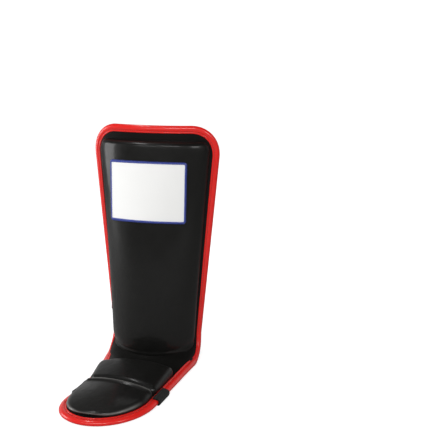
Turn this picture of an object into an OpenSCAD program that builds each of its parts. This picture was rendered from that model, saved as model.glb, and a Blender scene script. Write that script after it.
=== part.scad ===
// Shin and instep guard for martial arts, for one leg.
// It stands on its foot edges, toes towards -Y, with the shin rising along +Z.
// The origin is on the floor, under the middle of the foot strap.

/* [Shin] */
// Height of the top edge above the floor
shin_top = 343; // [320:1:370]
// Half width of the shell at its top edge
top_half = 91; // [84:1:95]
// Half width of the shell at the ankle
ankle_half = 64; // [59:1:68]
// Depth from the front ridge back to the side edges, at the top
top_depth = 20; // [16:1:26]
// Depth from the front ridge back to the side edges, at the ankle
ankle_depth = 38; // [34:1:42]
// How far the side edges lean back in degrees
lean_back = 3; // [0:0.5:5]
// Radius of the top corners
corner_r = 38; // [30:1:44]

/* [Instep] */
// Half width of the foot part
foot_half = 57.5; // [54:0.5:61]
// Half width at the neck, where the foot part flexes
neck_half = 65; // [61:1:68]
// Radius of the side edges where they turn from the shin to the foot
edge_r = 34; // [30:1:40]
// Radius of the front ridge where it turns from the shin to the foot
ridge_r = 32; // [28:1:38]
// Height of the foot part's ridge above its edges
rise = 8; // [7:0.5:12]
// Straight length of the side edges behind the foot strap
side_run = 96; // [90:1:102]
// Straight length of the side edges ahead of the foot strap
toe_run = 6; // [5:1:10]
// Length of the rounded toe
toe_len = 61; // [54:1:66]
// How far the toes are turned inwards in degrees
toe_turn = 8; // [0:1:10]
// How far the left side of the foot part draws in beside the foot strap
waist = 9; // [0:1:10]
// Length over which the left side draws in, before and behind the foot strap's middle
waist_run = 75; // [65:1:75]
// Length of the foot part behind which it stays straight
turn_run = 60; // [50:1:75]
// Length over which the turn inwards grows
turn_ease = 30; // [20:1:45]

/* [Layers] */
// Thickness of the base panel
base_t = 4; // [3:0.5:5]
// Thickness of the lining
lining_t = 1.2; // [0.8:0.1:2]
// Thickness of the pad covers
cover_t = 1.2; // [0.8:0.1:2]
// Thickness of the shin foam
shin_foam_t = 14; // [10:1:18]
// Thickness of the rear instep foam
rear_foam_t = 14; // [10:1:16]
// Thickness of the toe foam at its rear edge
toe_foam_t = 9; // [8:1:13]
// Thickness of the toe foam at the toes
toe_foam_end_t = 4.5; // [3.5:0.5:8]
// Gap between pieces that are sewn or glued together
seam_gap = 0.25; // [0.2:0.05:0.4]
// Gap between the shin and the foot part along the flex line
flex_gap = 1.1; // [0.9:0.1:1.5]

/* [Pads] */
// Distance from the top edge to the shin pad
pad_top_inset = 21; // [18:1:26]
// Distance from the side edges to the shin pad
pad_side_inset = 10; // [8.5:0.5:14]
// Distance from the side edges to the instep pads
foot_pad_inset = 6.5; // [6.5:0.5:12]
// Thickness of the shin foam at its sides, as a share of its thickness in the middle
shin_foam_side = 0.3; // [0.25:0.05:0.6]
// Thickness of the instep foam at its sides, as a share of its thickness in the middle
instep_foam_side = 0.85; // [0.5:0.05:0.9]
// Corner radius of the shin pad's outline
pad_corner_r = 15; // [10:1:22]
// How far the shin pad runs into the ankle bend
pad_tail = 30; // [24:1:34]
// Thickness left to the shin foam in the ankle bend, as a share
bend_share = 0.35; // [0.3:0.05:0.6]
// Distance from the ankle bend to the rear instep pad
crease_len = 15; // [12:1:20]
// Radius of the pads' rounded edges
pad_edge_r = 7; // [5:1:9]
// Gap between the instep pads
pad_gap = 4; // [2:0.5:6]
// Length of the rear instep pad
rear_pad_len = 56; // [44:1:60]
// How far the groove between the instep pads is turned, in degrees
groove_turn = 9; // [0:1:14]

/* [Edge binding] */
// Width of the edge binding
bind_w = 11; // [9:0.5:12]
// Thickness of the edge binding
bind_t = 7; // [5.5:0.5:8]

/* [Label] */
// Width of the label patch
label_w = 117; // [80:1:118]
// Height of the label patch
label_h = 86; // [60:1:90]
// Thickness of the label patch
label_t = 0.7; // [0.5:0.1:1.2]
// Width of the label's stitched border
label_border_w = 3.5; // [2:0.5:5]
// Distance from the top edge to the label's centre
label_drop = 92; // [83:1:103]
// Sideways offset of the label from the ridge
label_x = -3; // [-6:1:6]

/* [Calf flaps] */
// Thickness of the flap fabric
flap_t = 2; // [1.5:0.1:2.5]
// How far the closed flaps bulge back over the calf
flap_bulge = 14; // [10:1:18]
// How far the two flaps overlap
flap_lap = 10; // [6:1:11]
// Width of the flaps' hem and slit bindings
hem_w = 6.5; // [5:0.5:8]
// Distance from the top edge to the flaps' top hems at the sides
hem_drop = 28; // [24:1:36]
// How far the top hems climb towards the middle
hem_climb = 16; // [10:1:17]
// Height of the bottom hems at the sides
bottom_hem_z = 45; // [43:1:50]
// How far the bottom hems fall towards the middle
bottom_fall = 9; // [4:1:12]
// Height of the slit's lower end
slit_bottom = 107; // [104:1:120]
// Distance from the top edge to the slit's upper end
slit_drop = 105; // [101:1:118]
// How far the slit opens into the left flap
slit_left = 27; // [20:1:30]
// How far the slit opens into the right flap
slit_right = 16; // [10:1:20]

/* [Straps] */
// Width of the elastic straps
strap_w = 44; // [38:1:48]
// Thickness of the elastic
elastic_t = 1.6; // [1.2:0.1:2]
// Thickness of each hook or loop patch
hook_t = 1.1; // [0.8:0.1:1.4]
// Distance from the top edge to the upper strap where it is sewn on
upper_strap_drop = 60; // [56:1:67]
// How far the upper strap climbs to its free end
upper_climb = 19; // [10:1:22]
// Distance from the middle to the upper strap's free end
upper_end = 39; // [34:1:44]
// How far the upper loop patch starts inside the strap's free end
loop_lap = 20; // [15:1:24]
// Length of the upper loop patch
loop_len = 41; // [34:1:44]
// How far the upper loop patch lies below the strap where it is sewn on
loop_drop = 6; // [3:1:9]
// Height of the lower strap where it is sewn on
lower_strap_z = 76; // [74:1:79]
// How far the lower strap climbs to its free end
lower_climb = 5; // [0:1:6]
// Distance from the middle to the end of the lower elastic
lower_end = 35; // [30:1:38]
// How far the lower hook tab reaches past the guard's edge
tab_reach = 5; // [2:1:8]
// Thickness of the foot strap
foot_strap_t = 1.8; // [1.4:0.1:2.2]
// Width of the foot strap
foot_strap_w = 30; // [26:1:32]

/* [Hidden] */

label_z = shin_top - label_drop;
slit_top = shin_top - slit_drop;
upper_strap_z = shin_top - upper_strap_drop;
flex_a = 54;                               // how far round the edge turn the flex line lies
half_strap = foot_strap_w / 2;
bind_r = bind_t * 0.4;                     // rounding of the binding's outline
foot_tilt = 2 * atan2(rise, foot_half);
edge_z = bind_reach(foot_tilt);            // binding's middle above the floor
edge_y = edge_r + side_run + half_strap;   // side edges of the shin, at the turn
tip_y = -half_strap - toe_run - toe_len;   // middle of the binding at the toes
round_y = tip_y + toe_len;                 // where the toe starts to round
turn_y = edge_y - turn_run;                // where the foot part starts to turn inwards
ridge_z = edge_z + rise;
edge_c = [edge_y - edge_r, edge_z + edge_r];
edge_s = edge_c + edge_r * [cos(lean_back), -sin(lean_back)];
ridge_s_z = ridge_z + ridge_r * (1 - sin(lean_back));
ridge_s = [edge_line(ridge_s_z) - ankle_depth, ridge_s_z];
ridge_c = ridge_s - ridge_r * [cos(lean_back), -sin(lean_back)];
level_y = ridge_c[0] - 15;                 // from here on, sections of the foot part stand upright
shin_len = (shin_top - bind_w / 2 - ridge_s_z) / cos(lean_back);
bend_len = ridge_r * PI / 2;
top_z = shin_top - bind_w / 2;
edge_arc = edge_r * (90 - flex_a) * PI / 180;
edge_run = edge_arc + edge_c[0] - level_y;
grain = 0.02;                              // step for slopes along the shell

function lerp(a, b, t) = a + (b - a) * t;
function ease(t) = let(u = min(1, max(0, t))) u * u * (3 - 2 * u);
function unit(p) = p / norm(p);
function edge_line(z) = edge_s[0] + (z - edge_s[1]) * tan(lean_back);
function bind_reach(a) = (bind_w / 2 - bind_r) * sin(a) + (bind_t / 2 - bind_r) * cos(a) + bind_r;
function toe_f(y, inset = 0) = y > round_y ? 1
    : sqrt(max(0, 1 - pow((round_y - y) / (toe_len - inset), 2)));
function level_at(v) = lerp(level_y, tip_y, (v - 2.5) * 2);

// Stations v run down the shell: 0 top edge, 1 start of the ankle bend, 2 flex line,
// 2.5 start of the upright foot sections, 3 tip of the toes.
function edge_at(v) =
    v <= 1 ? lerp([edge_line(top_z), top_z], edge_s, v)
    : v <= 2 ? let(a = lerp(lean_back, flex_a, v - 1)) edge_c + edge_r * [cos(a), -sin(a)]
    : v <= 2.5 ? let(d = (v - 2) * 2 * edge_run, a = flex_a + d / edge_r * 180 / PI)
        (d < edge_arc ? edge_c + edge_r * [cos(a), -sin(a)]
                      : [edge_c[0] - d + edge_arc, edge_z])
    : [level_at(v), edge_z];
function ridge_at(v) =
    v <= 1 ? lerp([edge_line(top_z) - top_depth, top_z], ridge_s, v)
    : v <= 2 ? let(a = lerp(lean_back, 90, v - 1)) ridge_c + ridge_r * [cos(a), -sin(a)]
    : let(y = v <= 2.5 ? lerp(ridge_c[0], level_y, (v - 2) * 2) : level_at(v),
          u = (ridge_c[0] - y) / (ridge_c[0] - tip_y))
        [y, edge_z + rise * (1 - 0.3 * u) * toe_f(y)];
function half_at(v) =
    v <= 1 ? lerp(top_half, ankle_half, v)
    : v <= 2 ? lerp(ankle_half, neck_half, ease(v - 1))
    : v <= 2.5 ? lerp(neck_half, foot_half, ease((v - 2) * 2))
    : foot_half * toe_f(level_at(v));
function shift_at(v) = let(d = turn_y - edge_at(v)[0])
    -tan(toe_turn) * (d > turn_ease ? d - turn_ease / 2 : d > 0 ? d * d / turn_ease / 2 : 0);

// Each section is a circular arc. Places on it are shares k from the ridge, 0, to a side edge, -1
// or 1. This gives the arc's half angle, the point of the shell's middle surface at station v and
// share k, its outward normal, and the point that stands off it by h.
function rim_at(v) = v > 2.5 ? tilt(level_at(v))
    : 2 * atan2(norm(edge_at(v) - ridge_at(v)), half_at(v));
// The left side draws in beside the foot strap: how far at y, at a share k of the width.
function drawn_in(y, k) = abs(y) < waist_run ? waist * pow(cos(90 * y / waist_run), 2) * (1 - k) / 2
    : 0;
function shell(v, k) = let(e = edge_at(v), c = ridge_at(v), r = rim_at(v),
        q = (1 - cos(k * r)) / (1 - cos(r)), y = lerp(c[0], e[0], q))
    [shift_at(v) + half_at(v) * sin(k * r) / sin(r) + drawn_in(y, k), y, lerp(c[1], e[1], q)];
function normal(at, k) = let(v = abs(at - 2) < 0.03 ? 2 : at)
    unit(cross(shell(v + grain, k) - shell(v - grain, k), shell(v, k + 0.02) - shell(v, k - 0.02)));
function off(v, k, h) = shell(v, k) + normal(v, k) * h;
function speed(v, k, h = 0) = norm(off(v, k + 0.02, h) - off(v, k - 0.02, h)) / 0.04;
// Run of the shell from just inside a side edge out to it, and how squarely it meets that edge.
function outward(v, s) = unit(shell(v, s) - shell(v, s * 0.97));
function squareness(v) = norm(cross(outward(v, 1),
    unit(shell(v + grain, 1) - shell(v - grain, 1))));
// Share at a distance in from the side edge, and share at a distance from the ridge.
function side_k(v, inset) = let(d = inset / squareness(v),
    t = 1 - d / speed(v, 0.97) / 2) 1 - d / speed(v, t);
function arc_k(v, s, h) = let(g = s / speed(v, 0.02, h) / 2) s / speed(v, g, h);
function toe_half(y, inset) = (foot_half - cos(tilt(y)) / cos(toe_turn) * inset)
    * toe_f(y, inset);
function lim(v, inset) = v <= 2.5 ? side_k(v, inset)
    : let(y = level_at(v), r = rim_at(v))
        asin(min(1, toe_half(y, inset) / max(1, half_at(v))) * sin(r)) / r;
// Station at a distance m down the ridge from the top edge, and at a place y of the foot part.
function v_of(m) = m < shin_len ? m / shin_len
    : m < shin_len + bend_len ? 1 + (m - shin_len) / bend_len
    : v_of_y(ridge_c[0] - (m - shin_len - bend_len));
function v_of_y(y) = y > level_y ? 2 + (ridge_c[0] - y) / (ridge_c[0] - level_y) / 2
    : 2.5 + (level_y - y) / (level_y - tip_y) / 2;
function m_of_y(y) = shin_len + bend_len + ridge_c[0] - y;

// Closed solid between two grids of points, and along a list of rings.
module grid_solid(a, b) {
    n = len(a);
    m = len(a[0]);
    function id(s, i, j) = s * n * m + i * m + j;
    polyhedron(
        points = [for (g = [b, a]) for (r = g) for (p = r) p],
        faces = concat(
            [for (i = [0:n - 2]) for (j = [0:m - 2]) for (t = [0, 1])
                t == 0 ? [id(0, i, j), id(0, i, j + 1), id(0, i + 1, j + 1)]
                       : [id(0, i, j), id(0, i + 1, j + 1), id(0, i + 1, j)]],
            [for (i = [0:n - 2]) for (j = [0:m - 2]) for (t = [0, 1])
                t == 0 ? [id(1, i, j), id(1, i + 1, j + 1), id(1, i, j + 1)]
                       : [id(1, i, j), id(1, i + 1, j), id(1, i + 1, j + 1)]],
            [for (i = [0:n - 2]) for (e = [0, m - 1]) for (t = [0, 1])
                let(q = [id(0, i, e), id(0, i + 1, e), id(1, i + 1, e), id(1, i, e)],
                    f = e == 0 ? q : [q[3], q[2], q[1], q[0]])
                    t == 0 ? [f[0], f[1], f[2]] : [f[0], f[2], f[3]]],
            [for (j = [0:m - 2]) for (e = [0, n - 1]) for (t = [0, 1])
                let(q = [id(0, e, j + 1), id(0, e, j), id(1, e, j), id(1, e, j + 1)],
                    f = e == 0 ? q : [q[3], q[2], q[1], q[0]])
                    t == 0 ? [f[0], f[1], f[2]] : [f[0], f[2], f[3]]]));
}

module ring_solid(rings, closed = false) {
    n = len(rings);
    m = len(rings[0]);
    last = closed ? n - 1 : n - 2;
    polyhedron(
        points = [for (r = rings) for (p = r) p],
        faces = concat(
            [for (i = [0:last]) for (j = [0:m - 1]) for (t = [0, 1])
                let(i2 = (i + 1) % n, j2 = (j + 1) % m)
                    t == 0 ? [i * m + j, i2 * m + j2, i2 * m + j]
                           : [i * m + j, i * m + j2, i2 * m + j2]],
            closed ? [] : [[for (j = [m - 1:-1:0]) j], [for (j = [0:m - 1]) (n - 1) * m + j]]));
}

// Rings across a path of [middle, outward normal], or [middle, outward normal, run across it],
// for a bar with the given outline.
function bar_outline(w, t, r) = [for (k = [0:11]) let(q = floor(k / 3), a = q * 90 + (k % 3) * 45)
    [(q == 0 || q == 3 ? 1 : -1) * (w / 2 - r) + r * cos(a),
     (q < 2 ? 1 : -1) * (t / 2 - r) + r * sin(a)]];
function rings(path, outline, closed = false) = let(n = len(path)) [for (i = [0:n - 1])
    let(c = path[i][0],
        before = closed ? path[(i + n - 1) % n][0] : path[max(i - 1, 0)][0],
        after = closed ? path[(i + 1) % n][0] : path[min(i + 1, n - 1)][0],
        run = unit(after - before),
        set = len(path[i]) > 2,
        side = set ? path[i][2] : unit(cross(run, path[i][1])),
        out = set ? path[i][1] : cross(side, run))
    [for (q = outline) c + side * q[0] + out * q[1]]];

// Shell layers: a sheet between two offsets that stops short of the binding.
edge_in = bind_w / 2 + seam_gap;
layer_r = corner_r - edge_in;
flex_m = shin_len + bend_len - flex_gap;
flex_v = 2 + flex_gap * 0.4 / edge_run;
bend_ms = [for (i = [1:9]) lerp(shin_len, flex_m, i / 9)];
shin_ms = [for (i = [1:9]) lerp(corner_r, shin_len, i / 9)];
level_ys = concat([for (i = [1:4]) lerp(ridge_c[0], level_y, i / 4)],
    [for (i = [1:6]) lerp(level_y, round_y, i / 6)]);
function corner_in(d, r) = d >= r ? 0 : r - sqrt(max(0, r * r - pow(r - d, 2)));
module shell_layer(rows, inset, h0, h1, n) {
    edge = [for (m = rows) let(v = v_of(m)) [v, lim(v, inset + corner_in(m - edge_in, layer_r))]];
    grid_solid([for (r = edge) [for (c = [-n:n]) off(r[0], r[1] * c / n, h0)]],
               [for (r = edge) [for (c = [-n:n]) off(r[0], r[1] * c / n, h1)]]);
}
shin_rows = concat([for (b = [0:18:90]) edge_in + layer_r * (1 - cos(b))], shin_ms, bend_ms);
instep_rows = [for (y = concat([lerp(ridge_c[0], level_y, (flex_v - 2) * 2)], level_ys,
    [for (b = [20, 38, 53, 66, 76]) round_y - (toe_len - edge_in) * sin(b)])) m_of_y(y)];

// Pads: a foam core with rounded edges under a thin cover.
wall = 0.45;                               // share of the height where the rounding starts
pad_h0 = base_t / 2 + 2 * seam_gap;
// In the ankle bend a foam thins, so that its front runs straight down and doesn't turn forward.
function thinned(v, t) = v <= 1 || v > 2 ? t : let(a = lerp(lean_back, 90, v - 1),
        wall_r = (ridge_r - pad_h0 - t) * cos(lean_back) / max(0.3, cos(a)))
    max(t * bend_share, min(t, ridge_r - pad_h0 - wall_r));
skin = cover_t + seam_gap;
function crown(d) = wall + (1 - wall) * sqrt(1 - pow(1 - min(1, d), 2));
pad_edge = [[0, 0], [0, wall], [0.25, crown(0.25)], [0.6, crown(0.6)], [1, 1]];
function pad_cols(half, first) = let(
        r = min(pad_edge_r, half / 3),
        e = [for (i = [first:4]) [1 - pad_edge[i][0] * r / half, pad_edge[i][1]]],
        w = e[len(e) - 1][0])
    concat([for (p = e) [-p[0], p[1]]], [for (i = [-4:4]) [w * i / 5, 1]],
           [for (i = [len(e) - 1:-1:0]) e[i]]);
// Rows from m0 to m1: place down the ridge, share of the height, corner inset.
function pad_rows(m0, m1, r, first) = concat(
    [for (i = [first:4]) let(d = pad_edge[i][0] * pad_edge_r)
        [m0 + d, pad_edge[i][1], corner_in(d, r)]],
    [for (m = concat(shin_ms, bend_ms, [for (y = level_ys) m_of_y(y)]))
        if (m > m0 + pad_edge_r + 2 && m < m1 - pad_edge_r - 2)
            [m, 1, max(corner_in(m - m0, r), corner_in(m1 - m, r))]],
    [for (i = [4:-1:first]) let(d = pad_edge[i][0] * pad_edge_r)
        [m1 - d, pad_edge[i][1], corner_in(d, r)]]);
// Heights of a foam: at its first and last row, those rows' places, and its share at the sides.
function flat(t, side) = [t, t, 0, 1, side];
function foam_at(h, m, c) = lerp(h[0], h[1], (m - h[2]) / h[3])
    * (1 - (1 - h[4]) * pow(max(0, abs(c) - 0.3) / 0.7, 2));
function pad_grid(rows, inset, h, more, first) = [for (r = rows)
    let(v = v_of(r[0]), w = lim(v, inset + r[2]), half = w * speed(v, w / 2, pad_h0))
    [for (c = pad_cols(half, first))
        off(v_of(r[0] + skew(r[0]) * half * c[0]), w * c[0], pad_h0
            + (thinned(v, foam_at(h, r[0], c[0])) + more) * min(r[1], c[1]))]];
module pad_foam(m0, m1, r, inset, h) {
    d = skin + seam_gap;
    rows = pad_rows(m0 + d, m1 - d, r - d, 1);
    grid_solid(pad_grid(rows, inset + d, flat(0, 1), 0, 1), pad_grid(rows, inset + d, h, 0, 1));
}
module pad_cover(m0, m1, r, inset, h) {
    grid_solid(pad_grid(pad_rows(m0 + cover_t, m1 - cover_t, r - cover_t, 0), inset + cover_t,
                   h, seam_gap, 0),
               pad_grid(pad_rows(m0, m1, r, 0), inset, h, skin, 0));
}

shin_pad = [pad_top_inset - bind_w / 2, shin_len + pad_tail];
rear_pad_y = ridge_c[0] - crease_len;
rear_pad = [m_of_y(rear_pad_y), m_of_y(rear_pad_y - rear_pad_len)];
toe_m0 = m_of_y(rear_pad_y - rear_pad_len - pad_gap);
toe_m1 = m_of_y(tip_y + foot_pad_inset);
function skew(m) = tan(groove_turn) * max(0, min((m - rear_pad[0]) / (rear_pad[1] - rear_pad[0]),
    (toe_m1 - m) / (toe_m1 - toe_m0)));
toe_h = [toe_foam_t, toe_foam_end_t, toe_m0, toe_m1 - toe_m0, instep_foam_side];
function toe_rows(shrink, first) = concat(
    [for (i = [first:4]) let(d = pad_edge[i][0] * pad_edge_r)
        [toe_m0 + shrink + d, pad_edge[i][1], corner_in(d, 6)]],
    [for (y = level_ys) let(m = m_of_y(y))
        if (m > toe_m0 + pad_edge_r + 2) [m, 1, corner_in(m - toe_m0, 6)]],
    [for (b = [20, 36]) [m_of_y(round_y - (toe_len - foot_pad_inset) * sin(b)), 1, 0]],
    [for (i = [4:-1:first]) let(d = pad_edge[i][0] * pad_edge_r)
        [toe_m1 - shrink - d - 0.4, pad_edge[i][1], 0]]);

module shin_base_panel() {
    color("dimgray") shell_layer(shin_rows, edge_in, -base_t / 2, base_t / 2, 8);
}

module shin_lining() {
    color("#141414")
        shell_layer(shin_rows, edge_in, -base_t / 2 - seam_gap - lining_t,
            -base_t / 2 - seam_gap, 8);
}

module shin_foam_core() {
    color("khaki") pad_foam(shin_pad[0], shin_pad[1], pad_corner_r, pad_side_inset,
        flat(shin_foam_t, shin_foam_side));
}

module shin_pad_cover() {
    color("#2b2b2b") pad_cover(shin_pad[0], shin_pad[1], pad_corner_r, pad_side_inset,
        flat(shin_foam_t, shin_foam_side));
}

// The binding's path over the top edge and down both sides to the flex line.
function side_pt(v, s, way) = [shell(v, s), normal(v, s),
    outward(v, s) * way / squareness(v)];
function edge_pt(v, k) = [shell(v, k), normal(v, k)];
module shin_binding() {
    ms = concat(shin_ms, bend_ms);
    last = len(ms) - 1;
    turn = [0:15:90];
    over = lim(0, corner_r);
    function corner(b, s) = let(v = v_of(corner_r * (1 - sin(b))))
        edge_pt(v, s * lim(v, corner_r * (1 - cos(b))));
    path = concat([for (i = [last:-1:0]) side_pt(v_of(ms[i]), 1, 1)], [for (b = turn) corner(b, 1)],
        [for (i = [3:-1:-3]) edge_pt(0, over * i / 4)], [for (b = turn) corner(90 - b, -1)],
        [for (m = ms) side_pt(v_of(m), -1, 1)]);
    color("#c8423a") ring_solid(rings(path, bar_outline(bind_w, bind_t, bind_r)));
}

// Places on the cover of the shin pad, x along its arc and z up.
label_h0 = pad_h0 + shin_foam_t + skin + seam_gap;
function on_label(x, z, h) = let(v = v_of((top_z - z) / cos(lean_back)), k = arc_k(v, x, label_h0),
        foam = foam_at(flat(shin_foam_t, shin_foam_side), 0, k / lim(v, pad_side_inset)))
    off(v, k, label_h0 - shin_foam_t + foam + h);
function label_out(x, z) = unit(cross(on_label(x + 1, z, 0) - on_label(x - 1, z, 0),
    on_label(x, z + 1, 0) - on_label(x, z - 1, 0)));
module label_patch() {
    w = label_w / 2 - label_border_w - seam_gap;
    h = label_h / 2 - label_border_w - seam_gap;
    color("whitesmoke") grid_solid(
        [for (j = [4:-1:-4]) [for (i = [-6:6]) on_label(label_x + w * i / 6, label_z + h * j / 4, 0)]],
        [for (j = [4:-1:-4]) [for (i = [-6:6])
            on_label(label_x + w * i / 6, label_z + h * j / 4, label_t)]]);
}

module label_border() {
    w = (label_w - label_border_w) / 2;
    h = (label_h - label_border_w) / 2;
    r = label_border_w * 0.65;
    corners = [[w, -h], [w, h], [-w, h], [-w, -h]];
    round = [for (q = [0:3]) let(a = corners[q], b = corners[(q + 1) % 4], d = unit(b - a),
            c = a + r * d + r * [-d[1], d[0]])
        for (p = concat([c + r * ([d[1], -d[0]] - d) * sqrt(0.5)],
            [for (i = [0:5]) lerp(a + r * d, b - r * d, i / 5)])) p];
    path = [for (p = round) let(x = label_x + p[0], z = label_z + p[1], out = label_out(x, z))
        [on_label(x, z, 0.25) + out * label_t * 0.75, out]];
    color("#4a5bb0") ring_solid(rings(path, bar_outline(label_border_w, label_t * 1.2, 0.2), true),
        true);
}

module instep_base_panel() {
    color("dimgray") shell_layer(instep_rows, edge_in + 0.4, -base_t / 2, base_t / 2, 7);
}

module instep_lining() {
    color("#141414") shell_layer(instep_rows, edge_in + 0.4,
        -base_t / 2 - seam_gap - lining_t, -base_t / 2 - seam_gap, 7);
}

module rear_instep_foam() {
    color("khaki") pad_foam(rear_pad[0], rear_pad[1], 7, foot_pad_inset,
        flat(rear_foam_t, instep_foam_side));
}

module rear_instep_cover() {
    color("#2b2b2b") pad_cover(rear_pad[0], rear_pad[1], 7, foot_pad_inset,
        flat(rear_foam_t, instep_foam_side));
}

module toe_foam() {
    color("khaki") grid_solid(
        pad_grid(toe_rows(skin, 1), foot_pad_inset + skin, flat(0, 1), 0, 1),
        pad_grid(toe_rows(skin, 1), foot_pad_inset + skin, toe_h, 0, 1));
}

module toe_cover() {
    color("#2b2b2b") grid_solid(
        pad_grid(toe_rows(cover_t, 0), foot_pad_inset + cover_t, toe_h, seam_gap, 0),
        pad_grid(toe_rows(0, 0), foot_pad_inset, toe_h, skin, 0));
}

// The binding of the foot part lies flat on the floor and dips in over the foot strap.
function tilt(y) = 2 * atan2(rise * (1 - 0.3 * (ridge_c[0] - y) / (ridge_c[0] - tip_y)), foot_half);
function foot_edge(y, s) = [shift_at(v_of_y(y)) + s * foot_half * toe_f(y) + drawn_in(y, s), y,
    edge_z];
function over_strap(y) = abs(y) < half_strap + 2.2 ? foot_strap_t + seam_gap : 0;
module instep_binding() {
    turn_vs = [for (i = [0:6]) lerp(flex_v, 2.49, i / 6)];
    ys = concat([half_strap + 3.6, half_strap + 1.1],
        [for (i = [2:-1:-2]) i * half_strap / 2.5],
        [-half_strap - 1.1, -half_strap - 3.6, round_y],
        [for (b = [12:12:72]) round_y - toe_len * sin(b)],
        [round_y - toe_len * sin(81)]);
    nose = [[shift_at(3), tip_y + 0.1, edge_z], [0, -sin(tilt(tip_y)), cos(tilt(tip_y))]];
    function tip(y, s) = let(b = asin(min(1, max(0, (round_y - y) / toe_len))),
            o = unit([s * cos(b) * toe_len, -sin(b) * foot_half]))
        [foot_edge(y, s), [o[0] * sin(tilt(y)), o[1] * sin(tilt(y)), cos(tilt(y))]];
    path = concat([for (v = turn_vs) side_pt(v, 1, -1)], [for (y = ys) tip(y, 1)], [nose],
        [for (i = [len(ys) - 1:-1:0]) tip(ys[i], -1)],
        [for (i = [6:-1:0]) side_pt(turn_vs[i], -1, -1)]);
    round = rings(path, bar_outline(bind_w, bind_t, bind_r));
    color("#c8423a") ring_solid([for (r = round) [for (p = r)
        [p[0], p[1], max(p[2], over_strap(p[1]))]]]);
}

// The foot strap runs flat under the foot and folds round the binding at both ends.
module foot_strap() {
    ys = [for (i = [-2:2]) i * half_strap / 2];
    r = bind_r;
    loose = seam_gap + 0.2;
    // one turn of the fold at angle a round the binding, g away from it, with side s
    function fold(y, s, a, g) = let(
            q = [(a < 90 && a > -90 ? 1 : -1) * (bind_w / 2 - r) + (r + g) * cos(a),
                 (a > 0 ? 1 : -1) * (bind_t / 2 - r) + (r + g) * sin(a)],
            t = tilt(y), c = foot_edge(y, s))
        [c[0] + s * (q[0] * cos(t) + q[1] * sin(t)), y,
         max(g > 1 ? 0 : foot_strap_t, c[2] + q[1] * cos(t) - q[0] * sin(t))];
    function flat_end(y, s, g) = let(t = tilt(y), c = foot_edge(y, s), q = [-bind_w / 2 + 3,
            bind_t / 2 + g])
        [c[0] + s * (q[0] * cos(t) + q[1] * sin(t)), y, c[2] + q[1] * cos(t) - q[0] * sin(t)];
    turns = [89, 60, 30, 1, -1, -30, -60];
    function section(y, g) = concat([flat_end(y, -1, g)], [for (a = turns) fold(y, -1, a, g)],
        [for (i = [-3:3]) [foot_edge(y, 0)[0] + i * foot_half / 4, y, g > 1 ? 0 : foot_strap_t]],
        [for (i = [len(turns) - 1:-1:0]) fold(y, 1, turns[i], g)], [flat_end(y, 1, g)]);
    color("#1c1c1c") grid_solid([for (y = ys) section(y, loose)],
        [for (y = ys) section(y, loose + foot_strap_t)]);
}

// Calf flaps: they bulge back from the side edges and the right one laps over the left one.
lap_step = flap_t + 2.1;
lap_half = flap_lap / 2;
flap_sink = 1.7;                           // how deep the flaps lie behind the binding's highest line
top_hem_side = shin_top - hem_drop;
function side_v(z) = (top_z - z) / (top_z - edge_s[1]);
function side_half(z) = lerp(top_half, ankle_half, side_v(z));
function flap_y(x, z) = edge_line(z) + bind_reach(rim_at(side_v(z))) + flap_t / 2 - flap_sink
    + flap_bulge * (1 - pow(x / side_half(z), 2));
function lap_rise(x, z) = lap_step * ease((0.75 * side_half(z) - abs(x)) / (0.6 * side_half(z)));
// A place on the left (s = 1) or right (s = -1) flap, at x from the middle towards its side.
function flap(s, x, z, h) = [s * x, flap_y(x, z) + (s < 0 ? lap_rise(x, z) : 0) + h, z];
function slit_f(z, w) = let(t = (z - slit_bottom) / (slit_top - slit_bottom),
        e = (hem_w + 0.5) / w) e + (1 - e) * (t < 0.75 ? sin(120 * t) : cos(360 * (t - 0.75)));
function inner_x(z, w) = z > slit_bottom && z < slit_top ? w * slit_f(z, w) : -lap_half;
function hem_z(side, t) = side > 0 ? top_hem_side + hem_climb * t : bottom_hem_z - bottom_fall * t;
flap_side_in = 1.7;                        // from the side edges to the flaps' sewn edges
module calf_flap(s, w) {
    lift = hem_w + seam_gap;
    z0 = hem_z(-1, 1) + lift;
    z1 = hem_z(1, 1) - lift;
    zs = concat([for (i = [0:3]) lerp(z0, slit_bottom - 0.2, i / 3)],
        [for (i = [0:10]) lerp(slit_bottom + 0.2, slit_top - 0.2, i / 10)],
        [for (i = [0:3]) lerp(slit_top + 0.2, z1, i / 3)]);
    function at(z, t, h) = let(
            zt = lerp(lerp(hem_z(-1, 0) + lift, hem_z(1, 0) - lift, (z - z0) / (z1 - z0)), z, t),
            x = lerp(side_half(zt) - flap_side_in, inner_x(z, w), t))
        flap(s, x, zt, h);
    a = [for (z = zs) [for (j = [0:9]) at(z, j / 9, -flap_t / 2)]];
    b = [for (z = zs) [for (j = [0:9]) at(z, j / 9, flap_t / 2)]];
    color("#1a1a1a") grid_solid(s > 0 ? b : a, s > 0 ? a : b);
}

module flap_bar(s, places) {
    path = [for (p = places) [flap(s, p[0], p[1], 0), [0, 1, 0]]];
    color("#c8423a") ring_solid(rings(path, bar_outline(hem_w, flap_t + 1.2, 1)));
}

module flap_hem(s, side) {
    places = [for (i = [0:6]) let(t = i / 6, z = hem_z(side, t) - side * hem_w / 2)
        [lerp(side_half(z) - flap_side_in - 1.4, 0.5, t), z]];
    flap_bar(s, places);
}

module slit_binding(s, w) {
    flap_bar(s, [for (i = [0:10]) let(z = lerp(slit_bottom + 1.5, slit_top - 1.5, i / 10),
            slope = w * (slit_f(z + 0.5, w) - slit_f(z - 0.5, w)))
        [w * slit_f(z, w) - (hem_w / 2 + seam_gap) * norm([1, slope]) - 0.2, z]]);
}

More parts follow.
